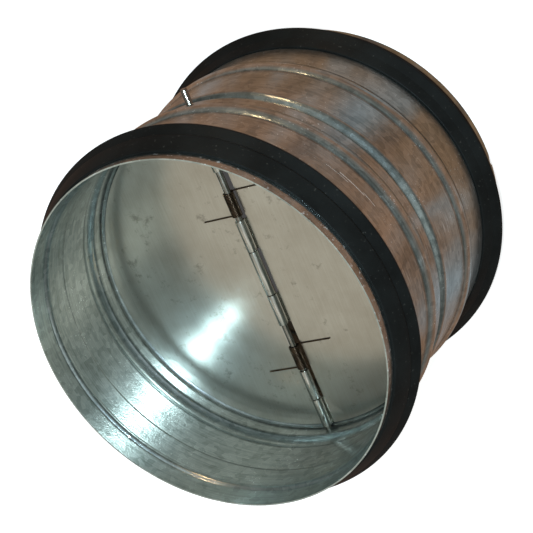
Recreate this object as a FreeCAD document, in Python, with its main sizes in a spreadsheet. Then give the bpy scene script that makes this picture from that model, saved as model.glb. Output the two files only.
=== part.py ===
"""Round duct backdraft damper with two spring-loaded half-disc blades.

Frame: +Z is the sleeve's axis and points out of the outlet, the end towards which the blades open.
The origin is the centre of the inlet rim, on which the damper stands.
The hinge pin lies along Y, so one blade covers the -X half of the duct and the other the +X half.
All lengths are in millimetres.
"""
import FreeCAD, Part
import math
import os

import Sketcher
from FreeCAD import Rotation, Vector

doc = FreeCAD.newDocument("BackdraftDamper")

# Driving dimensions
SIZES = {
    # rolled steel sleeve
    "sleeve_od": 159.0,
    "sleeve_length": 145.0,
    "sleeve_wall": 0.6,
    "waist_step": 0.5,
    "waist_inset": 26.0,
    "bead_inset": 49.0,
    "bead_width": 9.0,
    "bead_height": 2.0,
    "seat_inset": 11.7,
    "seat_width": 3.6,
    "seat_root": 1.6,
    "seat_depth": 1.2,
    "stop_width": 6.4,
    "stop_root": 1.8,
    "stop_depth": 3.0,
    "notch_width": 2.4,
    "notch_depth": 2.2,
    # rubber gaskets
    "gasket_inset": 5.3,
    "gasket_width": 20.0,
    "gasket_foot": 1.0,
    "gasket_fit": 0.1,
    "small_lip_inset": 12.6,
    "small_lip_height": 4.6,
    "large_lip_inset": 17.6,
    "large_lip_height": 7.0,
    "large_lip_land": 0.9,
    "lip_groove_run": 0.9,
    "heel_height": 3.6,
    "heel_inset": 21.6,
    # hinge
    "pin_od": 3.0,
    "pin_below_bead": 10.2,
    "pin_overhang": 7.6,
    "pin_chamfer": 0.4,
    "pin_hole_fit": 0.06,
    "knuckle_fit": 0.08,
    "middle_knuckle": 21.4,
    "next_knuckle": 15.0,
    "spring_gap": 23.2,
    "outer_knuckle": 15.0,
    "knuckle_gap": 0.4,
    "curl_slit": 0.5,
    # aluminium blades
    "blade_sheet": 0.6,
    "blade_edge_gap": 1.5,
    "blade_stop_gap": 0.3,
    "blade_hinge_gap": 0.7,
    # torsion springs
    "wire_od": 0.6,
    "coil_fit": 0.3,
    "coil_length": 11.4,
    "coil_turns": 8.0,
    "leg_reach": 18.0,
    "leg_bend": 0.6,
    "leg_lift": 0.06,
    "upper_spring_gap": 1.8,
    "lower_spring_gap": 0.9,
}

sheet = doc.addObject("Spreadsheet::Sheet", "Sizes")
for row, (alias, value) in enumerate(SIZES.items(), start=1):
    sheet.set("A%d" % row, alias)
    sheet.set("B%d" % row, str(value))
    sheet.setAlias("B%d" % row, alias)
doc.recompute()

# Values that follow from the driving dimensions, as document expressions
FORMULAS = {}


def formula(text):
    """Writes a formula of spaced words as an expression: sizes get the sheet's name, derived values their own formula."""
    return " ".join("Sizes." + word if word in SIZES else FORMULAS.get(word, word) for word in text.split())


for name, text in (
    ("sleeve_r", "( sleeve_od / 2 )"),
    ("bore_r", "( sleeve_r - sleeve_wall )"),
    ("waist_r", "( sleeve_r + waist_step )"),
    ("waist_bore_r", "( waist_r - sleeve_wall )"),
    ("bead_arc", "( ( bead_width ^ 2 / 4 + bead_height ^ 2 ) / ( 2 * bead_height ) )"),
    ("bead_ring", "( waist_r + bead_height - bead_arc )"),
    ("outlet_bead_height", "( sleeve_length - bead_inset )"),
    ("pin_height", "( outlet_bead_height - pin_below_bead )"),
    ("blade_r", "( waist_bore_r - blade_edge_gap )"),
    ("knuckle_bore_r", "( pin_od / 2 + knuckle_fit )"),
    ("knuckle_r", "( knuckle_bore_r + blade_sheet )"),
    ("blade_under", "( pin_height - knuckle_r )"),
    ("stop_slope", "( ( stop_width - stop_root ) / 2 / stop_depth )"),
    ("stop_height", "( blade_under - blade_stop_gap - stop_width / 2 + blade_edge_gap * stop_slope )"),
    ("blade_edge_x", "( knuckle_r + blade_hinge_gap )"),
    ("middle_end", "( middle_knuckle / 2 )"),
    ("next_end", "( middle_end + next_knuckle )"),
    ("outer_start", "( next_end + spring_gap )"),
    ("outer_end", "( outer_start + outer_knuckle )"),
):
    FORMULAS[name] = formula(text)

AXES = {"at_x": "Placement.Base.x", "at_y": "Placement.Base.y", "at_z": "Placement.Base.z"}


def bind(obj, **expressions):
    """Binds an object's sizes, and its place as at_x, at_y and at_z, to the sheet."""
    for prop, text in expressions.items():
        obj.setExpression(AXES.get(prop, prop), formula(text))
    return obj


def size(alias):
    """A driving dimension, read back from the sheet."""
    return float(sheet.get(alias))


def cylinder(name, radius, height, at_z):
    """An upright cylinder."""
    return bind(doc.addObject("Part::Cylinder", name), Radius=radius, Height=height, at_z=at_z)


def cross_cylinder(name, radius, length, at_y, at_z):
    """A cylinder along +Y, for the hinge."""
    made = doc.addObject("Part::Cylinder", name)
    made.Placement.Rotation = Rotation(Vector(1, 0, 0), -90)
    return bind(made, Radius=radius, Height=length, at_y=at_y, at_z=at_z)


def torus(name, ring, arc, at_z):
    """A round bead about the sleeve's axis."""
    return bind(doc.addObject("Part::Torus", name), Radius1=ring, Radius2=arc, at_z=at_z)


def box(name, length, width, height, at_x, at_y, at_z):
    """A box whose low corner is at the given place."""
    return bind(doc.addObject("Part::Box", name), Length=length, Width=width, Height=height,
                at_x=at_x, at_y=at_y, at_z=at_z)


def combine(kind, name, shapes):
    """Several solids fused ("MultiFuse") or what they share ("MultiCommon")."""
    made = doc.addObject("Part::" + kind, name)
    made.Shapes = shapes
    made.Refine = True
    return made


def cut(name, base, tool):
    """A base with a tool taken away."""
    made = doc.addObject("Part::Cut", name)
    made.Base = base
    made.Tool = tool
    made.Refine = True
    return made


def turned(name, outline):
    """A body turned about Z from a closed outline, whose points are pairs of formulas, radius and height."""
    body = doc.addObject("PartDesign::Body", name)
    sketch = body.newObject("Sketcher::SketchObject", name + "_outline")
    plane = next(f for f in body.Origin.OriginFeatures if f.Role == "XZ_Plane")
    sketch.AttachmentSupport = [(plane, "")]
    sketch.MapMode = "FlatFace"
    count = len(outline)
    # the outline starts as a regular polygon, and its constraints then place each corner
    ring = [Vector(40 + 10 * math.cos(2 * math.pi * i / count), 10 * math.sin(2 * math.pi * i / count), 0)
            for i in range(count)]
    for i in range(count):
        sketch.addGeometry(Part.LineSegment(ring[i], ring[(i + 1) % count]), False)
    for i in range(count):
        sketch.addConstraint(Sketcher.Constraint("Coincident", i, 2, (i + 1) % count, 1))
    for i, corner in enumerate(outline):
        for kind, text in zip(("DistanceX", "DistanceY"), corner):
            index = sketch.addConstraint(Sketcher.Constraint(kind, -1, 1, i, 1, 1.0))
            sketch.setExpression("Constraints[%d]" % index, formula(text))
    turn = body.newObject("PartDesign::Revolution", name + "_turn")
    turn.Profile = sketch
    turn.ReferenceAxis = (sketch, ["V_Axis"])
    turn.Angle = 360.0
    body.Label = name
    return body


# Sleeve: a rolled steel tube with two stiffening beads, a blade stop and a gasket seat near each end

def groove(wall_r, at, width, root, depth, edge):
    """Corners of a groove rolled inwards, from below to above; edge widens it on the side of the sheet's bulge."""
    return [
        (wall_r, "%s - %s / 2 - %s" % (at, width, edge)),
        (wall_r + " - " + depth, "%s - %s / 2 - %s" % (at, root, edge)),
        (wall_r + " - " + depth, "%s + %s / 2 + %s" % (at, root, edge)),
        (wall_r, "%s + %s / 2 + %s" % (at, width, edge)),
    ]


def wall_outline(end_r, waist_r, edge):
    """One face of the sheet from the inlet rim to the outlet rim, closed along the axis."""
    seat = ("seat_width", "seat_root", "seat_depth", edge)
    return [
        ("0", "0"),
        (end_r, "0"),
        *groove(end_r, "seat_inset", *seat),
        (end_r, "waist_inset + " + edge),
        (waist_r, "waist_inset + waist_step + " + edge),
        *groove(waist_r, "stop_height", "stop_width", "stop_root", "stop_depth", edge),
        (waist_r, "sleeve_length - waist_inset - waist_step - " + edge),
        (end_r, "sleeve_length - waist_inset - " + edge),
        *groove(end_r, "sleeve_length - seat_inset", *seat),
        (end_r, "sleeve_length"),
        ("0", "sleeve_length"),
    ]


BEADS = {"inlet_bead": "bead_inset", "outlet_bead": "outlet_bead_height"}
# the outer face's grooves are narrower than the inner face's ridges by about the sheet's thickness
sleeve_blank = combine("MultiFuse", "sleeve_blank", [
    turned("sleeve_skin", wall_outline("sleeve_r", "waist_r", "- sleeve_wall / 2")),
    *[torus(name, "bead_ring", "bead_arc", at_z) for name, at_z in BEADS.items()],
])
sleeve_void = combine("MultiFuse", "sleeve_void", [
    turned("sleeve_bore", wall_outline("bore_r", "waist_bore_r", "0")),
    *[torus(name + "_hollow", "bead_ring", "bead_arc - sleeve_wall", at_z) for name, at_z in BEADS.items()],
    cross_cylinder("pin_holes", "pin_od / 2 + pin_hole_fit", "2 * sleeve_od", "- sleeve_od", "pin_height"),
    box("seam_notch", "sleeve_wall * 4", "notch_width", "notch_depth",
        "sleeve_r - sleeve_wall * 3", "- notch_width / 2", "0"),
])
sleeve = cut("sleeve", sleeve_blank, sleeve_void)
sleeve.Label = "sleeve"


# Gaskets: rubber rings with two lips, keyed into the seats

def gasket(name, height):
    """A lipped ring. height turns a distance from the sleeve's end into a height."""
    outline = [
        ("sleeve_r + gasket_fit", "gasket_inset"),
        ("sleeve_r + gasket_foot", "gasket_inset"),
        ("sleeve_r + small_lip_height", "small_lip_inset"),
        ("sleeve_r + heel_height", "small_lip_inset + lip_groove_run"),
        ("sleeve_r + large_lip_height", "large_lip_inset"),
        ("sleeve_r + large_lip_height", "large_lip_inset + large_lip_land"),
        ("sleeve_r + heel_height", "heel_inset"),
        ("sleeve_r + gasket_foot", "gasket_inset + gasket_width"),
        ("sleeve_r + gasket_fit", "gasket_inset + gasket_width"),
        ("sleeve_r + gasket_fit", "seat_inset + seat_width / 2 - sleeve_wall / 2 - gasket_fit"),
        ("sleeve_r - seat_depth / 2", "seat_inset"),
        ("sleeve_r + gasket_fit", "seat_inset - seat_width / 2 + sleeve_wall / 2 + gasket_fit"),
    ]
    return turned(name, [(radius, height % along) for radius, along in outline])


inlet_gasket = gasket("inlet_gasket", "%s")
outlet_gasket = gasket("outlet_gasket", "sleeve_length - ( %s )")

# Hinge pin: a plain rod through both walls of the sleeve, chamfered at its cut ends
hinge_pin = turned("hinge_pin", [
    ("0", "- sleeve_r - pin_overhang"),
    ("pin_od / 2 - pin_chamfer", "- sleeve_r - pin_overhang"),
    ("pin_od / 2", "- sleeve_r - pin_overhang + pin_chamfer"),
    ("pin_od / 2", "sleeve_r + pin_overhang - pin_chamfer"),
    ("pin_od / 2 - pin_chamfer", "sleeve_r + pin_overhang"),
    ("0", "sleeve_r + pin_overhang"),
])
hinge_pin.Placement.Rotation = Rotation(Vector(1, 0, 0), -90)
bind(hinge_pin, at_z="pin_height")


# Blades: half discs of sheet whose straight edge has tabs curled round the pin

def blade(name, side, knuckles):
    """A blade on the +X (side 1) or -X (side -1) half; knuckles are start and end formulas along Y."""

    def reach(low, high):
        """The low end of a stretch from low to high on this blade's side."""
        return low if side > 0 else "- ( %s )" % high

    solids = [combine("MultiCommon", name + "_plate", [
        cylinder(name + "_disc", "blade_r", "blade_sheet", "blade_under"),
        box(name + "_half", "blade_r", "2 * blade_r", "blade_sheet",
            reach("blade_edge_x", "blade_edge_x + blade_r"), "- blade_r", "blade_under"),
    ])]
    hollows = []
    for number, (start, end) in enumerate(knuckles, start=1):
        tag = "%s_knuckle_%d" % (name, number)
        first, length = start + " + knuckle_gap / 2", "( %s ) - ( %s ) - knuckle_gap" % (end, start)
        solids += [
            cross_cylinder(tag, "knuckle_r", length, first, "pin_height"),
            box(tag + "_tab", "blade_edge_x + blade_sheet", length, "blade_sheet",
                reach("0", "blade_edge_x + blade_sheet"), first, "blade_under"),
        ]
        hollows += [
            cross_cylinder(tag + "_bore", "knuckle_bore_r", length, first, "pin_height"),
            box(tag + "_slit", "knuckle_r", length, "curl_slit", reach("0", "knuckle_r"), first,
                "pin_height - curl_slit"),
        ]
    made = cut(name, combine("MultiFuse", name + "_curled", solids), combine("MultiFuse", name + "_hollows", hollows))
    made.Label = name
    return made


left_blade = blade("left_blade", -1, [
    ("- middle_end", "middle_end"),
    ("outer_start", "outer_end"),
    ("- outer_end", "- outer_start"),
])
right_blade = blade("right_blade", 1, [
    ("middle_end", "next_end"),
    ("- next_end", "- middle_end"),
    ("outer_end", "blade_r"),
    ("- blade_r", "- outer_end"),
])


# Torsion springs: a coil round the pin with one leg pressing on each blade

def spring(name, middle):
    """A coil about the pin, its middle at a place along Y. Its legs bend out of the coil and lie on the blades."""
    wire_r = size("wire_od") / 2
    coil_r = size("pin_od") / 2 + size("coil_fit") + wire_r
    bend_r = size("leg_bend")
    length = size("coil_length")
    # height of a leg over the pin's axis, where it lies on the blade's upper face
    leg_z = size("leg_lift") + wire_r - size("pin_od") / 2 - size("knuckle_fit")
    # angle from +X at which the right leg leaves the coil, and the angle that it is bent by
    leave = math.asin((leg_z - bend_r) / (coil_r + bend_r))
    bend = math.pi / 2 + leave
    turns = size("coil_turns") + (math.pi + 2 * leave) / (2 * math.pi)

    def section(centre, out, along):
        """The wire's six-sided section, which keeps the coil light."""
        over = along.cross(out)
        corners = [centre + out * (wire_r * math.cos(a)) + over * (wire_r * math.sin(a))
                   for a in (math.pi * k / 3 for k in range(6))]
        return Part.makePolygon(corners + corners[:1])

    def leg(side, along_pin):
        """A leg on the +X (side 1) or -X (side -1) half: a bend out of the coil, then a straight run."""

        def at(x, y):
            return Vector(side * x, y, along_pin)

        out = at(math.cos(leave), math.sin(leave)) - at(0, 0)
        start = at(coil_r * math.cos(leave), coil_r * math.sin(leave))
        hub = at((coil_r + bend_r) * math.cos(leave), (coil_r + bend_r) * math.sin(leave))
        half = at(-math.sin(bend / 2), math.cos(bend / 2)) - at(0, 0)
        top = hub + Vector(0, bend_r, 0)
        path = Part.Wire([Part.Arc(start, hub + half * bend_r, top).toShape(),
                          Part.LineSegment(top, at(size("leg_reach"), top.y)).toShape()])
        heading = at(-math.sin(leave), math.cos(leave)) - at(0, 0)
        return path.makePipeShell([section(start, out, heading)], True, True)

    helix = Part.makeHelix(length / turns, length, coil_r, 0, True)
    helix.rotate(Vector(), Vector(0, 0, 1), math.degrees(leave))
    out = Vector(math.cos(leave), math.sin(leave), 0)
    heading = Vector(math.sin(leave), -math.cos(leave), 0)
    coil = Part.Wire(helix).makePipeShell([section(out * coil_r, out, heading)], True, True)
    made = doc.addObject("Part::Feature", name)
    made.Shape = coil.fuse([leg(1, 0), leg(-1, length)]).removeSplitter()
    # the coil's axis turns to -Y, so that the right leg is at its +Y end
    pin_height = size("sleeve_length") - size("bead_inset") - size("pin_below_bead")
    made.Placement = FreeCAD.Placement(Vector(0, middle + length / 2, pin_height), Rotation(Vector(1, 0, 0), 90))
    made.Label = name
    return made


gap_start = size("middle_knuckle") / 2 + size("next_knuckle")
gap_end = gap_start + size("spring_gap")
upper_spring = spring("upper_spring", gap_start + size("upper_spring_gap") + size("coil_length") / 2)
lower_spring = spring("lower_spring", size("lower_spring_gap") + size("coil_length") / 2 - gap_end)

doc.recompute()

# Every object has to be sound before anything is written
NODES = [sleeve, inlet_gasket, outlet_gasket, hinge_pin, left_blade, right_blade, upper_spring, lower_spring]
for obj in doc.Objects:
    if {"Invalid", "Error"} & set(obj.State):
        raise RuntimeError("%s failed: %s" % (obj.Name, obj.State))
os.makedirs("parts", exist_ok=True)
for node in NODES:
    shape = node.Shape
    if shape.isNull() or not shape.isValid() or len(shape.Solids) != 1:
        raise RuntimeError("%s has no single valid solid" % node.Label)
    print(node.Label, "volume %.1f" % shape.Volume, shape.BoundBox)
    shape.exportStep("parts/%s.step" % node.Label)
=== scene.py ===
"""Looks of the duct backdraft damper: galvanised sleeve, rubber gaskets, aluminium blades, pin and springs.

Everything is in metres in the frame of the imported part: +Z out of the outlet, the hinge pin along Y.
Sizes are written in millimetres, as a drawing has them, and turned into metres where a mesh is made.
"""
import logging
import math
from dataclasses import dataclass
from enum import Enum

import bmesh
import bpy
from bmesh.types import BMEdge, BMesh, BMVert
from bpy.types import Material, Node, NodeSocket, NodeTree, Object, World
from mathutils import Matrix, Vector


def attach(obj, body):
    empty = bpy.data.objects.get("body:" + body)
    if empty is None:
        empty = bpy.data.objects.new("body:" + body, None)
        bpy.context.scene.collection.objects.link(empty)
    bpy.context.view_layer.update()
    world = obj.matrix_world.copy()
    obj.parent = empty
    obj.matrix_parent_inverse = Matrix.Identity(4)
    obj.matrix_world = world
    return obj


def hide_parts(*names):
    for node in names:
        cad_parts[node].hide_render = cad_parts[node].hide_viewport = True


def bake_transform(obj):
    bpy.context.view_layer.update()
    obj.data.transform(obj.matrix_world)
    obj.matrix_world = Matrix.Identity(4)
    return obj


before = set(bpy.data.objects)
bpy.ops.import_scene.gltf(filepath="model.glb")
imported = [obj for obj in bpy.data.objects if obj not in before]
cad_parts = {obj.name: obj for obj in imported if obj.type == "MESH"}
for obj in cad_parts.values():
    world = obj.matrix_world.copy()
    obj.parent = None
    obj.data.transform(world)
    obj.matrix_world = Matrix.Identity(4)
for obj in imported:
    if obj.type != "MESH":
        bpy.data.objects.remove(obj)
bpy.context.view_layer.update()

log = logging.getLogger("damper")
MM = 0.001
# a fold steeper than this is a corner, and a face with more corners than this is a flat cut from sheet
SHARP = math.radians(38)
FLAT_CORNERS = 8
# points of one mesh that are closer than this, in metres, are one
TOUCH = 1e-7
# Mix has sockets of the same names for each kind of data, so its colours go by number
FACTOR, FIRST, SECOND, RESULT = 0, 6, 7, 2

Point = tuple[float, float]
Place = tuple[float, float, float]
Colour = tuple[float, float, float, float]
Value = Node | NodeSocket | float


class Side(Enum):
    """The half of the duct a blade covers, as the sign of X."""

    LEFT = -1
    RIGHT = 1


class End(Enum):
    """The end of the sleeve a gasket sits on, as the gasket's CAD node."""

    OUTLET = "outlet_gasket"
    INLET = "inlet_gasket"


class Slot(Enum):
    """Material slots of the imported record."""

    SLEEVE = "galvanised_steel"
    RUBBER = "epdm_rubber"
    BLADE = "blade_aluminium"
    PIN = "pin_steel"
    SPRING = "spring_steel"


# Shader helpers

def srgb(code: str) -> Colour:
    """Turns an sRGB hex colour into linear light.

    Args:
        code: six hex digits, such as "c8c4bc".

    Returns:
        Linear red, green, blue and an alpha of 1.
    """
    parts = [int(code[i:i + 2], 16) / 255 for i in (0, 2, 4)]
    red, green, blue = [p / 12.92 if p <= 0.04045 else ((p + 0.055) / 1.055) ** 2.4 for p in parts]
    return red, green, blue, 1.0


def grey(level: float) -> Colour:
    """A neutral linear colour."""
    return level, level, level, 1.0


def scale_of(size_mm: float) -> float:
    """The scale of a pattern with marks about size_mm across, on coordinates in metres."""
    return 1 / (size_mm * MM)


def wire(tree: NodeTree, node: Node, inputs: dict[str | int, object]) -> None:
    """Sets or links a node's inputs.

    Args:
        tree: the tree the node is in.
        node: the node.
        inputs: input name or number to a value, to a socket, or to a node whose first output is linked.
    """
    for key, value in inputs.items():
        if isinstance(value, Node):
            value = value.outputs[0]
        if isinstance(value, NodeSocket):
            tree.links.new(value, node.inputs[key])
        else:
            node.inputs[key].default_value = value


def add_node(tree: NodeTree, kind: str, inputs: dict[str | int, object] | None = None,
             stops: tuple[tuple[float, Colour], ...] = (), **settings: object) -> Node:
    """Adds a shader node with its settings and links.

    Args:
        tree: the tree it goes into.
        kind: the node's type, without its "ShaderNode" start.
        inputs: what its inputs are set to or linked from, as wire takes them.
        stops: position and linear colour of a colour ramp's stops, in order.
        settings: properties of the node itself.

    Returns:
        The new node.
    """
    made = tree.nodes.new("ShaderNode" + kind)
    for name, value in settings.items():
        setattr(made, name, value)
    if stops:
        elements = made.color_ramp.elements
        while len(elements) < len(stops):
            elements.new(0.5)
        for element, (place, colour) in zip(elements, stops):
            element.position = place
            element.color = colour
    wire(tree, made, inputs or {})
    return made


def weighted(tree: NodeTree, parts: tuple[tuple[Value, float], ...], start: float = 0.0) -> Value:
    """Adds up values.

    Args:
        tree: the tree the sum goes into.
        parts: each value and its weight.
        start: what the sum starts from.

    Returns:
        The sum.
    """
    total: Value = start
    for value, weight in parts:
        total = add_node(tree, "Math", {0: value, 1: weight, 2: total}, operation="MULTIPLY_ADD")
    return total


def closeness(tree: NodeTree, value: Value, at: float, reach: float) -> Value:
    """Finds how close a value is to a place.

    Args:
        tree: the tree it goes into.
        value: the value, in metres.
        at: the place, in millimetres.
        reach: how far from it the share ends, in millimetres.

    Returns:
        A share that falls from 1 at the place to 0 at its reach.
    """
    off = add_node(tree, "Math", {0: value, 1: at * MM}, operation="SUBTRACT")
    away = add_node(tree, "Math", {0: off}, operation="ABSOLUTE")
    part = add_node(tree, "Math", {0: away, 1: reach * MM}, operation="DIVIDE")
    return add_node(tree, "Math", {0: 1.0, 1: part}, operation="SUBTRACT", use_clamp=True)


# Finishes

@dataclass(frozen=True)
class Finish:
    """What all finishes share: a named material with a Principled shader."""

    name: str

    def start(self) -> tuple[Material, NodeTree, Node]:
        """Makes the empty material.

        Returns:
            The material, its tree and its Principled shader.
        """
        made = bpy.data.materials.new(self.name)
        made.use_nodes = True
        tree = made.node_tree
        return made, tree, tree.nodes["Principled BSDF"]

    def hazed(self, tree: NodeTree, shader: Node, colour: Value, normal: Value, rough: float,
              share: Value) -> None:
        """Lays a wide soft reflection over the sharp one, as sheet that isn't polished shows.

        Args:
            tree: the material's tree.
            shader: its Principled shader, the sharp reflection.
            colour: the metal's colour.
            normal: the bumped normal.
            rough: roughness of the wide reflection.
            share: its part of the whole.
        """
        inputs = {"Base Color": colour, "Metallic": 1.0, "Roughness": rough, "Normal": normal}
        haze = add_node(tree, "BsdfPrincipled", inputs)
        both = add_node(tree, "MixShader", {0: share, 1: shader, 2: haze})
        wire(tree, tree.nodes["Material Output"], {"Surface": both})


@dataclass(frozen=True)
class GalvanisedSteel(Finish):
    """Zinc-coated rolled strip, hot dipped, then rolled into a sleeve and welded along one line.

    Lengths are in millimetres. A dust-and-shade line is a height and the half width of the darker band there,
    which is dust and painted shade. A scratch is where it starts and ends round the sleeve, its height and
    its width.
    """

    # The eye sees a soft mirror that takes the room's colours, broken up by faint grains, by streaks round
    # the sleeve and by loose patches of bright specks, which are painted glints, with darker lines of dust
    # and painted shade in the grooves and at the feet of the beads.
    light: str = "e5f0ef"
    dark: str = "939e9b"
    # bare metal's colour, also used for the painted glints
    bare: str = "f2f6f6"
    dust_and_shade_grey: str = "58605e"
    grain_size: float = 2.6
    streak_width: float = 0.9
    cloud_size: float = 24.0
    # real specks are about 0.2 mm across and wouldn't show, so they are drawn five times as coarse; the
    # bright specks are painted glints
    speck_size: float = 1.0
    rub_width: float = 0.8
    wear_size: float = 2.2
    dust_size: float = 5.0
    bump_height: float = 0.05
    mirror_rough: float = 0.06
    haze_rough: float = 0.42
    haze_share: float = 0.32
    seam_at: float = -2.8
    seam_half_width: float = 5.0
    rim_from: float = 140.0
    rim_r: float = 79.2
    dust_and_shade_share: float = 0.55
    # heights of the groove, the beads' feet and the waist steps, where dust and painted shade darken the zinc
    dust_and_shade_lines: tuple[Point, ...] = (
        (80.9, 4.4), (44.3, 0.9), (53.7, 0.9), (91.3, 0.9), (100.7, 0.9), (26.0, 0.7), (119.0, 0.7),
    )
    scratch_share: float = 0.9
    scratches: tuple[tuple[float, float, float, float], ...] = (
        (33.0, 46.0, 108.2, 0.3), (41.0, 52.0, 109.6, 0.18), (27.0, 34.0, 107.4, 0.2),
    )

    def weld(self, tree: NodeTree, place: Value) -> Value:
        """Finds the weld: a dressed band along the sleeve on its +X side, rubbed across.

        Args:
            tree: the material's tree.
            place: object coordinates.

        Returns:
            A share from 0 for plain zinc to 1 for bare bright metal.
        """
        axes = add_node(tree, "SeparateXYZ", {"Vector": place}).outputs
        near = closeness(tree, axes["Y"], self.seam_at, self.seam_half_width)
        front = add_node(tree, "Math", {0: axes["X"], 1: 0.0}, operation="GREATER_THAN")
        band = add_node(tree, "Math", {0: near, 1: front}, operation="MULTIPLY")
        across = add_node(tree, "Mapping", {"Vector": place, "Scale": (0.1, 0.1, 1.0)})
        rub = add_node(tree, "TexNoise", {"Vector": across, "Scale": scale_of(self.rub_width),
                                          "Detail": 3.0, "Roughness": 0.6})
        rubbed = add_node(tree, "ValToRGB", {"Fac": rub}, ((0.5, grey(0.0)), (0.7, grey(0.45))))
        return add_node(tree, "Math", {0: band, 1: rubbed}, operation="MULTIPLY")

    def worn_rim(self, tree: NodeTree, place: Value) -> Value:
        """Finds the small spots where ducts that were pushed on rubbed the outlet's rim.

        Args:
            tree: the material's tree.
            place: object coordinates.

        Returns:
            A share from 0 for plain zinc to 1 for bare bright metal.
        """
        wear = add_node(tree, "TexNoise", {"Vector": place, "Scale": scale_of(self.wear_size),
                                           "Detail": 3.0, "Roughness": 0.6})
        worn = add_node(tree, "ValToRGB", {"Fac": wear}, ((0.6, grey(0.0)), (0.68, grey(0.7))))
        up = add_node(tree, "SeparateXYZ", {"Vector": place}).outputs["Z"]
        rim = add_node(tree, "Math", {0: up, 1: self.rim_from * MM}, operation="GREATER_THAN")
        level = add_node(tree, "VectorMath", {0: place, 1: (1.0, 1.0, 0.0)}, operation="MULTIPLY")
        radius = add_node(tree, "VectorMath", {0: level}, operation="LENGTH").outputs["Value"]
        outside = add_node(tree, "Math", {0: radius, 1: self.rim_r * MM}, operation="GREATER_THAN")
        outer = add_node(tree, "Math", {0: rim, 1: outside}, operation="MULTIPLY")
        return add_node(tree, "Math", {0: outer, 1: worn}, operation="MULTIPLY")

    def marks(self, tree: NodeTree, place: Value, turned: Value, speckle: Value, cloud: Value) -> Value:
        """Finds where the zinc is bright: specks that are painted glints, and the weld, the worn rim and
        scratches by the outlet gasket, which are wear.

        Args:
            tree: the material's tree.
            place: object coordinates.
            turned: metres round and along the sleeve.
            speckle: fine noise whose peaks are the painted glints.
            cloud: coarse noise whose peaks gather the painted glints.

        Returns:
            A share from 0 for plain zinc to 1 for bare bright metal and for a painted glint.
        """
        # painted glints: white specks in loose patches, where the zinc would catch the light
        glint_clusters = add_node(tree, "ValToRGB", {"Fac": cloud}, ((0.48, grey(0.1)), (0.62, grey(1.0))))
        specks = add_node(tree, "ValToRGB", {"Fac": speckle}, ((0.64, grey(0.0)), (0.72, grey(0.8))))
        bright = add_node(tree, "Math", {0: glint_clusters, 1: specks}, operation="MULTIPLY")
        shares = [self.weld(tree, place), self.worn_rim(tree, place)]
        ways = add_node(tree, "SeparateXYZ", {"Vector": turned}).outputs
        for first, last, height, width in self.scratches:
            middle, half = (first + last) / 2 * MM, (last - first) / 2 * MM
            along = add_node(tree, "Math", {0: ways["X"], 1: middle, 2: half}, operation="COMPARE")
            over = add_node(tree, "Math", {0: ways["Y"], 1: height * MM, 2: width / 2 * MM},
                            operation="COMPARE")
            cut = add_node(tree, "Math", {0: along, 1: over}, operation="MULTIPLY")
            shares.append(add_node(tree, "Math", {0: cut, 1: self.scratch_share}, operation="MULTIPLY"))
        for share in shares:
            bright = add_node(tree, "Math", {0: bright, 1: share}, operation="MAXIMUM")
        return bright

    def dust(self, tree: NodeTree, place: Value) -> Value:
        """Finds the darker bands in the rolled-in groove and at the feet of the beads, in patches: dust and
        painted shade in these creases.

        Args:
            tree: the material's tree.
            place: object coordinates.

        Returns:
            A share from 0 for clean zinc to 1 for the thickest dust.
        """
        up = add_node(tree, "SeparateXYZ", {"Vector": place}).outputs["Z"]
        deep: Value = 0.0
        for at, half_width in self.dust_and_shade_lines:
            near = closeness(tree, up, at, half_width)
            inside = add_node(tree, "Math", {0: near, 1: 2.5}, operation="MULTIPLY", use_clamp=True)
            deep = add_node(tree, "Math", {0: deep, 1: inside}, operation="MAXIMUM")
        loose = add_node(tree, "TexNoise", {"Vector": place, "Scale": scale_of(self.dust_size),
                                            "Detail": 4.0, "Roughness": 0.7})
        patchy = add_node(tree, "ValToRGB", {"Fac": loose}, ((0.36, grey(0.4)), (0.62, grey(1.0))))
        return add_node(tree, "Math", {0: deep, 1: patchy}, operation="MULTIPLY")

    def build(self) -> Material:
        """Makes the material.

        Returns:
            The material; its streaks follow the "turned" UV map, in metres round and along the sleeve.
        """
        made, tree, shader = self.start()
        place = add_node(tree, "TexCoord").outputs["Object"]
        turned = add_node(tree, "UVMap", uv_map="turned")
        # zinc grains, barely lighter and darker than each other
        grains = add_node(tree, "TexVoronoi", {"Vector": place, "Scale": scale_of(self.grain_size),
                                               "Randomness": 1.0})
        grain = add_node(tree, "SeparateColor", {"Color": grains.outputs["Color"]})
        # streaks left by the rolls, long round the sleeve and narrow
        drawn = add_node(tree, "Mapping", {"Vector": turned, "Scale": (0.03, 1.0, 1.0)})
        streak = add_node(tree, "TexNoise", {"Vector": drawn, "Scale": scale_of(self.streak_width),
                                             "Detail": 4.0, "Roughness": 0.55})
        cloud = add_node(tree, "TexNoise", {"Vector": place, "Scale": scale_of(self.cloud_size),
                                            "Detail": 4.0, "Roughness": 0.6})
        speckle = add_node(tree, "TexNoise", {"Vector": place, "Scale": scale_of(self.speck_size),
                                              "Detail": 2.0, "Roughness": 0.7})
        tone = weighted(tree, ((grain, 0.15), (cloud, 0.45), (streak, 0.4)))
        zinc = add_node(tree, "ValToRGB", {"Fac": tone}, ((0.3, srgb(self.dark)), (0.72, srgb(self.light))))
        # bright holds the painted glints as well as the wear; both are painted in the bare colour and lose
        # their metal shine
        bright = self.marks(tree, place, turned, speckle, cloud)
        rubbed = add_node(tree, "Mix", {FACTOR: bright, FIRST: zinc, SECOND: srgb(self.bare)},
                          data_type="RGBA").outputs[RESULT]
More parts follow.
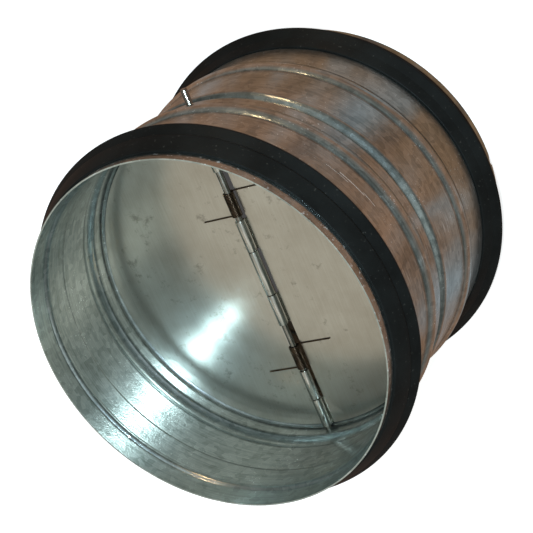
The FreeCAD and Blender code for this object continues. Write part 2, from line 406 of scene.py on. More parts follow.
        # the groove and the feet of the beads are painted darker: dust and painted shade in these creases
        dusty = self.dust(tree, place)
        dust_and_shade_cover = add_node(tree, "Math", {0: dusty, 1: self.dust_and_shade_share}, operation="MULTIPLY")
        colour = add_node(tree, "Mix", {FACTOR: dust_and_shade_cover, FIRST: rubbed, SECOND: srgb(self.dust_and_shade_grey)},
                          data_type="RGBA").outputs[RESULT]
        height = weighted(tree, ((speckle, 2.2), (streak, 0.5), (cloud, 1.6)))
        bump = add_node(tree, "Bump", {"Height": height, "Strength": 0.6, "Distance": self.bump_height * MM})
        rough = weighted(tree, ((grain, 0.04), (streak, 0.1), (bright, 0.2), (dusty, 0.08)),
                         self.mirror_rough)
        wire(tree, shader, {"Base Color": colour, "Metallic": weighted(tree, ((bright, -0.8),), 1.0),
                            "Roughness": rough, "Normal": bump})
        self.hazed(tree, shader, colour, bump, self.haze_rough, self.haze_share)
        return made


@dataclass(frozen=True)
class RolledAluminium(Finish):
    """Mill-finish aluminium sheet of the blades, as it left the rolls. Lengths are in millimetres."""

    # The eye sees a hazy mirror, in which a lamp is a soft bright spot with a wide halo, with faint lines
    # along the hinge, smudges of a hand's touch and small dark scuffs.
    light: str = "d4d0c6"
    dark: str = "b9b2a6"
    scuff: str = "857f75"
    # real rolling lines are under 0.1 mm wide and wouldn't show, so they are drawn coarser
    line_width: float = 0.5
    smudge_size: float = 22.0
    fine_size: float = 1.6
    scuff_size: float = 4.5
    bump_height: float = 0.05
    mirror_rough: float = 0.08
    haze_rough: float = 0.33
    haze_share: float = 0.55
    curl_haze: float = 0.1
    curl_reach: float = 3.0

    def build(self) -> Material:
        """Makes the material.

        Returns:
            The material, on object coordinates.
        """
        made, tree, shader = self.start()
        place = add_node(tree, "TexCoord").outputs["Object"]
        drawn = add_node(tree, "Mapping", {"Vector": place, "Scale": (1.0, 0.03, 1.0)})
        lines = add_node(tree, "TexNoise", {"Vector": drawn, "Scale": scale_of(self.line_width),
                                            "Detail": 3.0, "Roughness": 0.55})
        smudge = add_node(tree, "TexNoise", {"Vector": place, "Scale": scale_of(self.smudge_size),
                                             "Detail": 5.0, "Roughness": 0.6})
        fine = add_node(tree, "TexNoise", {"Vector": place, "Scale": scale_of(self.fine_size),
                                           "Detail": 3.0, "Roughness": 0.6})
        tone = weighted(tree, ((smudge, 0.7), (lines, 0.3)))
        plain = add_node(tree, "ValToRGB", {"Fac": tone}, ((0.3, srgb(self.dark)), (0.7, srgb(self.light))))
        # scuffs in loose groups
        marks = add_node(tree, "TexNoise", {"Vector": place, "Scale": scale_of(self.scuff_size),
                                            "Detail": 5.0, "Roughness": 0.68})
        rubs = weighted(tree, ((marks, 1.0), (smudge, 0.5)))
        scuffed = add_node(tree, "ValToRGB", {"Fac": rubs}, ((0.86, grey(0.0)), (0.98, grey(0.6))))
        colour = add_node(tree, "Mix", {FACTOR: scuffed, FIRST: plain, SECOND: srgb(self.scuff)},
                          data_type="RGBA").outputs[RESULT]
        height = weighted(tree, ((lines, 0.5), (smudge, 3.0)))
        bump = add_node(tree, "Bump", {"Height": height, "Strength": 0.2, "Distance": self.bump_height * MM})
        rough = weighted(tree, ((smudge, 0.12), (fine, 0.06)), self.mirror_rough)
        wire(tree, shader, {"Base Color": colour, "Metallic": 1.0, "Roughness": rough, "Normal": bump})
        # the curled tabs are drawn tight over the pin and shine more than the flat
        across = add_node(tree, "SeparateXYZ", {"Vector": place}).outputs["X"]
        away = add_node(tree, "Math", {0: across}, operation="ABSOLUTE")
        flat = add_node(tree, "Math", {0: away, 1: self.curl_reach * MM}, operation="GREATER_THAN")
        share = weighted(tree, ((flat, self.haze_share - self.curl_haze),), self.curl_haze)
        self.hazed(tree, shader, colour, bump, self.haze_rough, share)
        return made


@dataclass(frozen=True)
class MouldedRubber(Finish):
    """Black rubber, moulded in one piece. Lengths are in millimetres."""

    # The eye sees a matt black with a soft sheen on the lips, a fine grain and a little light dust.
    base: str = "141514"
    worn: str = "1d1f1e"
    dust: str = "4a4843"
    # the mould's own grain is about 0.1 mm and wouldn't show, so it is drawn coarser
    grain_size: float = 0.7
    cloud_size: float = 16.0
    dust_size: float = 1.1
    bump_height: float = 0.06
    sheen: float = 0.15

    def build(self) -> Material:
        """Makes the material.

        Returns:
            The material, on object coordinates.
        """
        made, tree, shader = self.start()
        place = add_node(tree, "TexCoord").outputs["Object"]
        grain = add_node(tree, "TexNoise", {"Vector": place, "Scale": scale_of(self.grain_size),
                                            "Detail": 4.0, "Roughness": 0.6})
        cloud = add_node(tree, "TexNoise", {"Vector": place, "Scale": scale_of(self.cloud_size),
                                            "Detail": 4.0, "Roughness": 0.6})
        specks = add_node(tree, "TexNoise", {"Vector": place, "Scale": scale_of(self.dust_size),
                                             "Detail": 1.0, "Roughness": 0.4})
        black = add_node(tree, "ValToRGB", {"Fac": cloud}, ((0.35, srgb(self.base)), (0.7, srgb(self.worn))))
        dusty = add_node(tree, "ValToRGB", {"Fac": specks}, ((0.70, grey(0.0)), (0.78, grey(0.6))))
        colour = add_node(tree, "Mix", {FACTOR: dusty, FIRST: black, SECOND: srgb(self.dust)},
                          data_type="RGBA").outputs[RESULT]
        bump = add_node(tree, "Bump", {"Height": grain, "Strength": 0.3, "Distance": self.bump_height * MM})
        rough = weighted(tree, ((cloud, 0.25),), 0.36)
        wire(tree, shader, {"Base Color": colour, "Roughness": rough, "Specular IOR Level": self.sheen,
                            "Normal": bump})
        return made


@dataclass(frozen=True)
class DrawnSteel(Finish):
    """Steel rod or wire, drawn through a die. Lengths are in millimetres."""

    # The eye sees smooth metal with faint lines along it and a patchy tint of oxide.
    light: str = "aaa59c"
    dark: str = "80796e"
    smooth: float = 0.16
    # the die's own lines are finer than 0.1 mm and wouldn't show, so they are drawn coarser
    line_width: float = 0.3
    tint_size: float = 4.0
    bump_height: float = 0.01

    def build(self) -> Material:
        """Makes the material.

        Returns:
            The material, on object coordinates.
        """
        made, tree, shader = self.start()
        place = add_node(tree, "TexCoord").outputs["Object"]
        drawn = add_node(tree, "Mapping", {"Vector": place, "Scale": (1.0, 0.05, 1.0)})
        lines = add_node(tree, "TexNoise", {"Vector": drawn, "Scale": scale_of(self.line_width),
                                            "Detail": 2.0, "Roughness": 0.55})
        tint = add_node(tree, "TexNoise", {"Vector": place, "Scale": scale_of(self.tint_size),
                                           "Detail": 4.0, "Roughness": 0.6})
        colour = add_node(tree, "ValToRGB", {"Fac": tint}, ((0.3, srgb(self.dark)), (0.7, srgb(self.light))))
        bump = add_node(tree, "Bump", {"Height": lines, "Strength": 0.2, "Distance": self.bump_height * MM})
        wire(tree, shader, {"Base Color": colour, "Metallic": 1.0,
                            "Roughness": weighted(tree, ((lines, 0.18),), self.smooth), "Normal": bump})
        return made


# Mesh helpers

def rounded(corners: list[tuple[float, float, float]], steps: int = 4) -> list[Point]:
    """Rounds the corners of a closed outline.

    Args:
        corners: x, y and corner radius of each corner, in order.
        steps: straight pieces in each rounding.

    Returns:
        The rounded outline's points.
    """
    points: list[Point] = []
    for i, (x, y, radius) in enumerate(corners):
        here = Vector((x, y))
        back = Vector(corners[i - 1][:2]) - here
        ahead = Vector(corners[(i + 1) % len(corners)][:2]) - here
        half = back.angle(ahead) / 2
        if radius <= 0 or half > math.radians(89.5):
            points.append((x, y))
            continue
        cut = min(radius / math.tan(half), 0.45 * back.length, 0.45 * ahead.length)
        first, last = here + back.normalized() * cut, here + ahead.normalized() * cut
        for step in range(steps + 1):
            t = step / steps
            bent = first * (1 - t) ** 2 + here * 2 * t * (1 - t) + last * t ** 2
            points.append((bent.x, bent.y))
    return points


def lathe(outline: list[Point], segments: int) -> BMesh:
    """Spins a closed outline about Z.

    Args:
        outline: radius and height of each point, in millimetres.
        segments: steps of a full turn.

    Returns:
        A closed ring with outward faces.
    """
    bm = bmesh.new()
    verts = [bm.verts.new((radius * MM, 0.0, height * MM)) for radius, height in outline]
    edges = [bm.edges.new((a, b)) for a, b in zip(verts, verts[1:] + verts[:1])]
    bmesh.ops.spin(bm, geom=verts + edges, cent=(0, 0, 0), axis=(0, 0, 1), angle=2 * math.pi,
                   steps=segments, use_merge=True, use_duplicate=False)
    # the last step of the spin may be off the first by a little more than TOUCH
    bmesh.ops.remove_doubles(bm, verts=bm.verts[:], dist=1e-6)
    bmesh.ops.recalc_face_normals(bm, faces=bm.faces[:])
    return bm


def turned_uv(bm: BMesh, radius: float) -> None:
    """Lays a UV map "turned" on a ring, in metres round the axis and along it.

    Args:
        bm: the ring's mesh.
        radius: where the way round is measured, in millimetres.
    """
    layer = bm.loops.layers.uv.new("turned")
    for face in bm.faces:
        middle = face.calc_center_median()
        centre = math.atan2(middle.y, middle.x)
        for loop in face.loops:
            co = loop.vert.co
            turn = math.atan2(co.y, co.x)
            turn += 2 * math.pi * round((centre - turn) / (2 * math.pi))
            loop[layer].uv = (turn * radius * MM, co.z)


def to_object(bm: BMesh, name: str, material: Material) -> Object:
    """Turns a mesh under construction into a smooth-shaded object with sharp corners kept.

    Args:
        bm: the mesh, which is freed.
        name: the object's name.
        material: its finish.

    Returns:
        The object, linked into the scene.
    """
    for face in bm.faces:
        face.smooth = True
    for edge in bm.edges:
        if len(edge.link_faces) == 2:
            # a flat stays flat up to its rim, so that it mirrors as sheet does
            flat = any(len(face.verts) > FLAT_CORNERS for face in edge.link_faces)
            edge.smooth = not flat and edge.calc_face_angle(0.0) < SHARP
    mesh = bpy.data.meshes.new(name)
    bm.to_mesh(mesh)
    bm.free()
    mesh.materials.append(material)
    made = bpy.data.objects.new(name, mesh)
    bpy.context.scene.collection.objects.link(made)
    return made


# The damper's pieces

@dataclass
class Sleeve:
    """The rolled tube, one sheet thick, whose wall follows a line with beads, a stop and gasket seats."""

    material: Material
    outer_r: float = 79.5
    length: float = 145.0
    wall: float = 0.6
    waist_step: float = 0.5
    waist_inset: float = 26.0
    waist_run: float = 0.5
    bead_inset: float = 49.0
    bead_width: float = 9.0
    bead_height: float = 2.0
    bead_fillet: float = 0.22
    seat_inset: float = 11.7
    seat_width: float = 3.6
    seat_depth: float = 1.2
    stop_at: float = 80.9
    stop_width: float = 8.4
    stop_depth: float = 3.0
    notch_width: float = 2.4
    notch_depth: float = 2.2
    notch_flare: float = 1.3
    notch_turn: float = -2.0
    fine_step: float = 0.42
    coarse_step: float = 6.0
    segments: int = 288

    def bulge(self, height: float, at: float, width: float, rise: float) -> float:
        """A bead's rise over the wall: a flat arc that runs out into the wall with a small fillet."""
        arc = rise * (1 - (2 * (height - at) / width) ** 2)
        return (arc + math.hypot(arc, self.bead_fillet)) / 2

    def mid_radius(self, height: float) -> float:
        """Finds the radius of the wall's middle.

        Args:
            height: height above the inlet rim, in millimetres.

        Returns:
            The radius there, in millimetres.
        """
        mirrored = min(height, self.length - height)
        step = 0.5 + 0.5 * math.tanh((mirrored - self.waist_inset) / self.waist_run)
        radius = self.outer_r - self.wall / 2 + self.waist_step * step
        radius += self.bulge(mirrored, self.bead_inset, self.bead_width, self.bead_height)
        radius -= self.bulge(mirrored, self.seat_inset, self.seat_width, self.seat_depth)
        off = min(1.0, abs(height - self.stop_at) * 2 / self.stop_width)
        return radius - self.stop_depth * (0.5 + 0.5 * math.cos(math.pi * off))

    def stations(self) -> list[float]:
        """Finds where the wall is drawn: close together on beads and seats, far apart on plain wall.

        Returns:
            Heights in order, in millimetres.
        """
        marks = [(0.0, 0.5), (self.length, 0.5), (self.stop_at, self.stop_width * 0.75)]
        for inset, reach in ((self.seat_inset, self.seat_width), (self.waist_inset, 1.5),
                             (self.bead_inset, self.bead_width * 0.68)):
            marks += [(inset, reach), (self.length - inset, reach)]
        heights, height = [], 0.0
        while height < self.length:
            heights.append(height)
            near = any(abs(height - at) <= reach + 0.01 for at, reach in marks)
            following = [at - reach - height for at, reach in marks if at - reach > height + 0.3]
            height += self.fine_step if near else min([self.coarse_step, *following])
        return heights + [self.length]

    def outline(self) -> list[Point]:
        """Draws the wall's closed section, up the outside and down the inside.

        Returns:
            Radius and height of each point, in millimetres.
        """
        probe = 0.05
        outer, inner = [], []
        for height in self.stations():
            slope = (self.mid_radius(height + probe) - self.mid_radius(height - probe)) / (2 * probe)
            across = Vector((1.0, -slope)).normalized() * (self.wall / 2)
            if height in (0.0, self.length):
                across = Vector((self.wall / 2, 0.0))
            radius = self.mid_radius(height)
            outer.append((radius + across.x, height + across.y))
            inner.append((radius - across.x, height - across.y))
        return outer + inner[::-1]

    def cut_notch(self, bm: BMesh) -> None:
        """Pushes the rim's edge up at the seam, where the rolled strip's clipped corners leave a small notch.

        Args:
            bm: the sleeve's mesh.
        """
        half_turn = self.notch_width / self.outer_r / 2
        deep = self.notch_depth * MM
        for vert in bm.verts:
            turn = math.atan2(vert.co.y, vert.co.x) - math.radians(self.notch_turn)
            share = max(0.0, 1 - abs(turn) / half_turn / self.notch_flare)
            if share and vert.co.z < 0.1 * MM:
                vert.co.z += deep * share
            elif share and vert.co.z < deep:
                vert.co.z += (deep - vert.co.z) * share

    def build(self) -> Object:
        """Makes the sleeve.

        Returns:
            The object, riding on the casing in place of the CAD sleeve.
        """
        bm = lathe(self.outline(), self.segments)
        self.cut_notch(bm)
        turned_uv(bm, self.outer_r)
        made = to_object(bm, "rolled_sleeve", self.material)
        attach(made, "casing")
        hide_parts("sleeve")
        return made


@dataclass
class Gasket:
    """A rubber ring with a small and a large lip, keyed into its seat on the sleeve."""

    end: End
    material: Material
    sleeve_r: float = 79.5
    sleeve_length: float = 145.0
    inset: float = 5.3
    width: float = 20.0
    foot: float = 1.0
    fit: float = 0.05
    segments: int = 240

    def outline(self) -> list[Point]:
        """Draws the section with its moulded roundings: the foot, the small lip, the large lip and the key.

        Returns:
            Radius and distance from the sleeve's end of each point, in millimetres.
        """
        r, end = self.sleeve_r, self.inset + self.width
        return rounded([
            (r + self.fit, self.inset, 0.0), (r + self.foot, self.inset, 0.4),
            (r + 4.6, 12.4, 0.35), (r + 4.4, 13.2, 0.25), (r + 3.7, 13.5, 0.3),
            (r + 7.0, 17.5, 0.6), (r + 6.8, 18.5, 0.6), (r + 3.6, 21.6, 0.4),
            (r + self.foot, end, 0.5), (r + self.fit, end, 0.0),
            (r + self.fit, 12.6, 0.0), (r - 0.6, 12.3, 0.1), (r - 0.6, 11.1, 0.1), (r + self.fit, 10.8, 0.0),
        ])

    def build(self) -> Object:
        """Makes the ring.

        Returns:
            The object, riding on the casing in place of its CAD node.
        """
        section = self.outline()
        if self.end is End.OUTLET:
            section = [(radius, self.sleeve_length - along) for radius, along in section]
        made = to_object(lathe(section, self.segments), "lipped_" + self.end.value, self.material)
        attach(made, "casing")
        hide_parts(self.end.value)
        return made


@dataclass
class Blade:
    """A half disc of sheet whose straight edge has tabs curled round the pin."""

    side: Side
    material: Material
    knuckles: list[Point]
    radius: float = 77.9
    sheet: float = 0.6
    pin_height: float = 85.8
    bore_r: float = 1.58
    edge: float = 2.88
    gap: float = 0.4
    rim_round: float = 0.25
    curl_degrees: float = 318.0
    arc_steps: int = 120
    curl_steps: int = 30

    def outline(self) -> list[Point]:
        """Draws the flat and its tabs on the +X side, from the straight edge's -Y end round the arc and back.

        Returns:
            The outline's points, in millimetres.
        """
        start = math.acos(self.edge / self.radius)
        points = [(self.radius * math.cos(turn), self.radius * math.sin(turn))
                  for turn in (start * (2 * i / self.arc_steps - 1) for i in range(self.arc_steps + 1))]
        limit = points[-1][1]
        for low, high in sorted(self.knuckles, reverse=True):
            top, bottom = min(high - self.gap / 2, limit), max(low + self.gap / 2, -limit)
            # a tab that reaches the arc takes the place of the arc's own end
            if top == limit:
                points.pop()
            if bottom == -limit:
                points.pop(0)
            points += [(self.edge, top), (0.0, top), (0.0, bottom), (self.edge, bottom)]
        return points

    def build(self) -> Object:
        """Makes the blade as one curled sheet.

        Returns:
            The object, riding on its own body in place of its CAD node.
        """
        bm = bmesh.new()
        under = (self.pin_height - self.bore_r - self.sheet) * MM
        flat = [bm.verts.new((x * MM, y * MM, under)) for x, y in self.outline()]
        face = bm.faces.new(flat)
        raised = bmesh.ops.extrude_face_region(bm, geom=[face])
        lifted = [g for g in raised["geom"] if isinstance(g, BMVert)]
        bmesh.ops.translate(bm, verts=lifted, vec=(0, 0, self.sheet * MM))
        # each tab's end face is spun on round the pin
        ends = [f for f in bm.faces if all(abs(v.co.x) < TOUCH for v in f.verts)]
        for end in ends:
            bmesh.ops.spin(bm, geom=[end], cent=(0, 0, self.pin_height * MM), axis=(0, 1, 0),
                           angle=math.radians(self.curl_degrees), steps=self.curl_steps)
        bmesh.ops.remove_doubles(bm, verts=bm.verts[:], dist=TOUCH)
        if self.side is Side.LEFT:
            bmesh.ops.scale(bm, verts=bm.verts[:], vec=(-1, 1, 1))
        bmesh.ops.recalc_face_normals(bm, faces=bm.faces[:])
        rims = [e for e in bm.edges if len(e.link_faces) == 2 and e.calc_face_angle(0.0) > SHARP]
        bmesh.ops.bevel(bm, geom=rims, offset=self.rim_round * MM, offset_type="OFFSET", segments=2,
                        profile=0.5, affect="EDGES", material=-1, clamp_overlap=True)
        name = self.side.name.lower()
        made = to_object(bm, "curled_%s_blade" % name, self.material)
        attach(made, name + "_flap")
        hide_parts(name + "_blade")
        return made


@dataclass
class HingePin:
    """The rod through both walls, with chamfered cut ends."""

    material: Material
    radius: float = 1.5
    reach: float = 87.1
    height: float = 85.8
    chamfer: float = 0.4
    segments: int = 40

    def build(self) -> Object:
        """Makes the rod.

        Returns:
            The object, riding on the casing in place of the CAD pin.
        """
        bm = bmesh.new()
        lie = Matrix.Translation((0, 0, self.height * MM)) @ Matrix.Rotation(math.pi / 2, 4, "X")
        bmesh.ops.create_cone(bm, cap_ends=True, segments=self.segments, radius1=self.radius * MM,
                              radius2=self.radius * MM, depth=2 * self.reach * MM, matrix=lie)
        caps = [e for e in bm.edges if abs(e.verts[0].co.y - e.verts[1].co.y) < TOUCH]
        bmesh.ops.bevel(bm, geom=caps, offset=self.chamfer * MM, offset_type="OFFSET", segments=2,
                        profile=0.5, affect="EDGES", material=-1)
        bmesh.ops.recalc_face_normals(bm, faces=bm.faces[:])
        made = to_object(bm, "drawn_hinge_pin", self.material)
        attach(made, "casing")
        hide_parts("hinge_pin")
        return made


@dataclass
class TorsionSpring:
    """A close-wound coil on the pin. Each half carries one leg, and winds up as its blade turns."""

    node: str
    material: Material
    place: float
    length: float = 11.4
    turns: int = 17
    wire_r: float = 0.3
    coil_r: float = 2.1
    bend_r: float = 0.6
    leg_reach: float = 18.0
    leg_height: float = -1.22
    pin_height: float = 85.8
    sides: int = 10
    bend_steps: int = 6
    steps_per_turn: int = 28

    def ring(self, leave: float, end: float) -> BMesh:
        """Draws the wire's section where the leg leaves the coil.

        Args:
            leave: angle of that place round the pin, from +X towards +Z.
            end: its place along the pin, in millimetres.

        Returns:
            A mesh with the section as one ring of edges.
        """
        bm = bmesh.new()
        bmesh.ops.create_circle(bm, cap_ends=False, segments=self.sides, radius=self.wire_r * MM)
        across = Vector((math.cos(leave), 0, math.sin(leave)))
        along = Vector((-math.sin(leave), 0, math.cos(leave)))
        turn = Matrix((across, Vector((0, -1, 0)), along)).transposed().to_4x4()
        centre = across * self.coil_r + Vector((0, end, self.pin_height))
        bmesh.ops.transform(bm, matrix=Matrix.Translation(centre * MM) @ turn, verts=bm.verts[:])
        return bm

    def half(self, side: Side) -> Object:
        """Makes one leg and its half of the coil.

        Args:
            side: the blade that the leg lies on.

        Returns:
            The object.
        """
        hub_r = self.coil_r + self.bend_r
        leave = math.asin((self.leg_height - self.bend_r) / hub_r)
        end = self.place + self.length / 2
        bm = self.ring(leave, end)
        section = bm.edges[:]
        # the leg bends outwards until it lies along the blade
        hub = Vector((hub_r * math.cos(leave), end, self.pin_height + hub_r * math.sin(leave)))
        bent = bmesh.ops.spin(bm, geom=section, cent=hub * MM, axis=(0, 1, 0), angle=math.pi / 2 + leave,
                              steps=self.bend_steps)
        bent_edges = [g for g in bent["geom_last"] if isinstance(g, BMEdge)]
        leg = bmesh.ops.extrude_edge_only(bm, edges=bent_edges)["geom"]
        tip = [g for g in leg if isinstance(g, BMVert)]
        bmesh.ops.translate(bm, verts=tip, vec=((self.leg_reach - hub.x) * MM, 0, 0))
        # half of the turns, from the leg's end of the coil to its middle
        steps = round(self.steps_per_turn * self.turns / 2)
        bmesh.ops.spin(bm, geom=section, cent=(0, 0, self.pin_height * MM), axis=(0, 1, 0),
                       angle=math.pi * self.turns + math.pi / 2 + leave,
                       dvec=(0, -self.length / 2 / steps * MM, 0), steps=steps)
        bmesh.ops.remove_doubles(bm, verts=bm.verts[:], dist=TOUCH)
        bmesh.ops.holes_fill(bm, edges=[e for e in bm.edges if len(e.link_faces) == 1], sides=0)
        if side is Side.LEFT:
            bmesh.ops.rotate(bm, verts=bm.verts[:], cent=(0, self.place * MM, 0),
                             matrix=Matrix.Rotation(math.pi, 3, "Z"))
        bmesh.ops.recalc_face_normals(bm, faces=bm.faces[:])
        name = side.name.lower()
        made = to_object(bm, "%s_%s_half" % (self.node, name), self.material)
        end = self.place + side.value * self.length / 2
        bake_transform(made)
        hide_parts(self.node)
        return made

    def build(self) -> list[Object]:
        """Makes both halves, the right leg at the +Y end and the left leg at the -Y end."""
        return [self.half(Side.RIGHT), self.half(Side.LEFT)]


# The photograph's studio

@dataclass
class PhotoCamera:
    """The camera that took the photograph, fitted to the sleeve's rims; its place is in millimetres."""

    place: Place = (353.0, 209.9, 609.6)
    right: Place = (0.8329, -0.3741, -0.4078)
    up: Place = (0.1679, 0.8730, -0.4579)
    lens: float = 104.47
    sensor: float = 36.0

    def build(self) -> Object:
        """Places the camera.

        Returns:
            The scene's camera.
        """
        data = bpy.data.cameras.new("photo_camera")
        data.lens = self.lens
        data.sensor_width = self.sensor
        made = bpy.data.objects.new("photo_camera", data)
        right, up = Vector(self.right).normalized(), Vector(self.up).normalized()
        turn = Matrix((right, up, right.cross(up))).transposed().to_4x4()
        made.matrix_world = Matrix.Translation(Vector(self.place) * MM) @ turn
        bpy.context.scene.collection.objects.link(made)
        bpy.context.scene.camera = made
        return made


@dataclass
class Lamp:
    """A soft round light; its place, aim and size are in metres."""

    name: str
    place: Place
    aim: Place
    size: Point
    power: float
    colour: str

    def build(self) -> Object:
        """Hangs the light, facing its aim.

        Returns:
            The light's object.
        """
        data = bpy.data.lights.new(self.name, "AREA")
        data.shape = "ELLIPSE"
        data.size, data.size_y = self.size
        data.energy = self.power
        data.color = srgb(self.colour)[:3]
        made = bpy.data.objects.new(self.name, data)
        look = (Vector(self.aim) - Vector(self.place)).to_track_quat("-Z", "Y")
        made.matrix_world = Matrix.Translation(self.place) @ look.to_matrix().to_4x4()
        bpy.context.scene.collection.objects.link(made)
        return made


@dataclass(frozen=True)
class Glow:
    """A soft round bright part of the room, such as a ceiling or a window, seen in one direction."""

    way: Place
    degrees: float
    colour: str


@dataclass
class Studio:
    """White floor and soft lights. The metal sees a dim brown room in place of the white floor."""

    floor_size: float = 8.0
    sleeve_r: float = 79.0
    paper: float = 0.8
    near: str = "8e6f56"
    room: str = "a0755a"
    away: str = "7d756d"
    patch: str = "98a1a8"
    shade: str = "35363c"
    mottle_size: float = 38.0
    patches: tuple[tuple[Point, float], ...] = (((88.0, 88.0), 32.0), ((84.0, -78.0), 40.0))
    horizon: str = "4c4a45"
    shine: str = "8b8e8c"
    bright_side: Place = (0.8, -0.35, 0.0)
    sky: tuple[tuple[float, str], ...] = ((0.2, "868783"), (0.3, "9fa4a1"), (0.7, "ced6d4"), (0.8, "e0e8e6"))
    glows: tuple[Glow, ...] = (
        Glow((-0.545, -0.31, 0.79), 20.0, "cecbbf"),
        Glow((0.62, 0.38, 0.69), 29.0, "6a6864"),
        Glow((0.44, -0.54, 0.72), 18.0, "e6ebe5"),
        Glow((0.66, -0.19, 0.73), 15.0, "9aa19f"),
        Glow((-0.2, 0.67, 0.71), 16.0, "c2cac7"),
        Glow((0.1, -0.31, 0.945), 12.0, "ffffff"),
    )

    def ground(self, tree: NodeTree, place: Value, far: Value) -> Value:
        """Colours the ground that the metal mirrors: brown, mottled with cool light and dark patches.

        Args:
            tree: the floor's tree.
            place: object coordinates.
            far: distance from the sleeve's axis, in metres.

        Returns:
            The colour.
        """
        # the stops are in halves of a metre
        halves = add_node(tree, "Math", {0: far, 1: 2.0}, operation="MULTIPLY")
        colour: Value = add_node(tree, "ValToRGB", {"Fac": halves}, (
            (0.17, srgb(self.near)), (0.3, srgb(self.room)), (0.5, srgb(self.room)), (0.95, srgb(self.away)),
        )).outputs["Color"]
        mottle = add_node(tree, "TexNoise", {"Vector": place, "Scale": scale_of(self.mottle_size),
                                             "Detail": 4.0})
        layers: list[tuple[Value, str]] = []
        for (x, y), reach in self.patches:
            gap = add_node(tree, "VectorMath", {0: place, 1: (x * MM, y * MM, 0.0)}, operation="DISTANCE")
            near = closeness(tree, gap.outputs["Value"], 0.0, reach)
            share = add_node(tree, "Math", {0: near, 1: 1.2}, operation="MULTIPLY", use_clamp=True)
            layers.append((share, self.patch))
        pale = add_node(tree, "ValToRGB", {"Fac": mottle}, ((0.5, grey(0.0)), (0.68, grey(0.7))))
        deep = add_node(tree, "ValToRGB", {"Fac": mottle}, ((0.34, grey(0.75)), (0.46, grey(0.0))))
        for share, over in (*layers, (pale, self.patch), (deep, self.shade)):
            colour = add_node(tree, "Mix", {FACTOR: share, FIRST: colour, SECOND: srgb(over)},
                              data_type="RGBA").outputs[RESULT]
        return colour

    def floor(self) -> Object:
        """Lays the floor: white with a soft shadow for the camera, brown for reflections.

        Returns:
            The floor's object.
        """
        bm = bmesh.new()
        bmesh.ops.create_grid(bm, x_segments=1, y_segments=1, size=self.floor_size / 2)
        made = bpy.data.materials.new("studio_floor")
        made.use_nodes = True
        tree = made.node_tree
        tree.nodes.remove(tree.nodes["Principled BSDF"])
        path = add_node(tree, "LightPath").outputs
        place = add_node(tree, "TexCoord").outputs["Object"]
        far = add_node(tree, "VectorMath", {0: place}, operation="LENGTH").outputs["Value"]
        # the ground inside the sleeve stays dark, so no white shows past the hinge
        outside = add_node(tree, "Math", {0: far, 1: self.sleeve_r * MM}, operation="GREATER_THAN")
        shown = weighted(tree, ((outside, 0.68),), 0.06)
        glow_level = add_node(tree, "Math", {0: path["Is Camera Ray"], 1: shown}, operation="MULTIPLY")
        paper = add_node(tree, "BsdfDiffuse", {"Color": grey(self.paper)})
        glow = add_node(tree, "Emission", {"Color": grey(1.0), "Strength": glow_level})
        lit = add_node(tree, "AddShader", {0: paper, 1: glow})
        mirrored = weighted(tree, ((outside, 0.85),), 0.15)
        room = add_node(tree, "Emission", {"Color": self.ground(tree, place, far), "Strength": mirrored})
        seen = add_node(tree, "MixShader", {0: path["Is Glossy Ray"], 1: lit, 2: room})
        wire(tree, tree.nodes["Material Output"], {"Surface": seen})
        floor = to_object(bm, "studio_floor", made)
        return floor

    def world(self) -> World:
        """Fills the room with dim light, warm below and cool above.

        Returns:
            The scene's world.
        """
        made = bpy.data.worlds.new("studio_world")
        made.use_nodes = True
        tree = made.node_tree
        way = add_node(tree, "TexCoord").outputs["Generated"]
        # dim on the far side, brighter and cooler on the near one, and darker again low down
        side = add_node(tree, "VectorMath", {0: way, 1: self.bright_side}, operation="DOT_PRODUCT")
        share = weighted(tree, ((side.outputs["Value"], 0.5),), 0.5)
        above = add_node(tree, "ValToRGB", {"Fac": share}, tuple((at, srgb(code)) for at, code in self.sky))
        height = add_node(tree, "SeparateXYZ", {"Vector": way}).outputs["Z"]
        low = add_node(tree, "ValToRGB", {"Fac": height}, ((0.36, grey(1.0)), (0.6, grey(0.0))))
        things = add_node(tree, "TexNoise", {"Vector": way, "Scale": 5.0, "Detail": 3.0})
        around = add_node(tree, "ValToRGB", {"Fac": things},
                          ((0.42, srgb(self.horizon)), (0.62, srgb(self.shine))))
        colour = add_node(tree, "Mix", {FACTOR: low, FIRST: above, SECOND: around},
                          data_type="RGBA").outputs[RESULT]
        for glow in self.glows:
            towards = add_node(tree, "VectorMath", {0: way, 1: Vector(glow.way).normalized()},
                               operation="DOT_PRODUCT").outputs["Value"]
            edge = math.cos(math.radians(glow.degrees))
            full = 0.35 * edge + 0.65
            lit = add_node(tree, "ValToRGB", {"Fac": towards}, ((edge, grey(0.0)), (full, grey(1.0))))
            colour = add_node(tree, "Mix", {FACTOR: lit, FIRST: colour, SECOND: srgb(glow.colour)},
                              data_type="RGBA").outputs[RESULT]
        # what the camera itself sees past the floor is white
        seen = add_node(tree, "LightPath").outputs["Is Camera Ray"]
        shown = add_node(tree, "Mix", {FACTOR: seen, FIRST: colour, SECOND: grey(1.0)}, data_type="RGBA")
        wire(tree, tree.nodes["Background"], {"Color": shown.outputs[RESULT], "Strength": 1.0})
        bpy.context.scene.world = made
        return made

    def build(self) -> None:
        """Sets up floor, world and lights."""
        self.floor()
        self.world()
        Lamp("camera_flash", (0.326, 0.217, 0.66), (0.0, 0.0, 0.09), (0.045, 0.045), 2.8, "d2efff").build()
        Lamp("warm_bulb", (0.2, 1.4, 0.4), (0.0, 0.0, 0.07), (0.1, 0.1), 1.7, "ffd3a0").build()


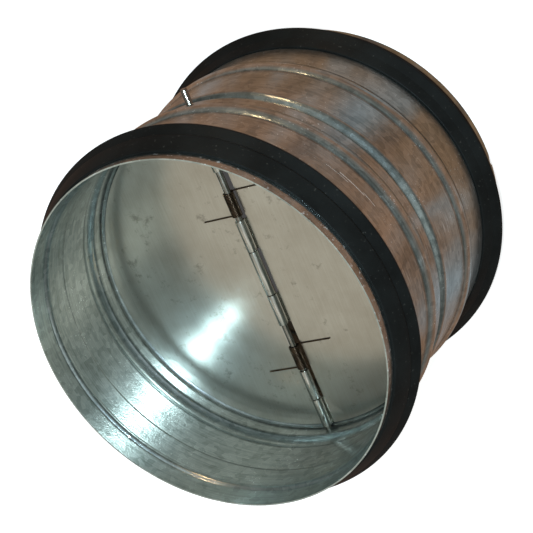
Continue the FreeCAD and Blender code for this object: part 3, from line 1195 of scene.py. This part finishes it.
def main() -> None:
    """Builds the damper and its studio."""
    logging.basicConfig(level=logging.INFO, format="%(message)s")
    bpy.context.scene.view_settings.view_transform = "Standard"
    steel = GalvanisedSteel("galvanised_rolled_steel").build()
    rubber = MouldedRubber("moulded_epdm_rubber").build()
    aluminium = RolledAluminium("mill_finish_aluminium").build()
    rod = DrawnSteel("drawn_pin_steel").build()
    spring_wire = DrawnSteel("drawn_spring_steel", light="6e5a49", dark="43362c", smooth=0.2).build()
    made = [
        Sleeve(steel).build(),
        Gasket(End.OUTLET, rubber).build(),
        Gasket(End.INLET, rubber).build(),
        Blade(Side.LEFT, aluminium, [(-10.7, 10.7), (48.9, 63.9), (-63.9, -48.9)]).build(),
        Blade(Side.RIGHT, aluminium, [(10.7, 25.7), (-25.7, -10.7), (63.9, 77.9), (-77.9, -63.9)]).build(),
        HingePin(rod).build(),
        *TorsionSpring("upper_spring", spring_wire, 33.2).build(),
        *TorsionSpring("lower_spring", spring_wire, -42.3).build(),
    ]
    for piece in made:
        log.info("%s: %d faces", piece.name, len(piece.data.polygons))
    PhotoCamera().build()
    Studio().build()


if __name__ == "__main__":
    main()
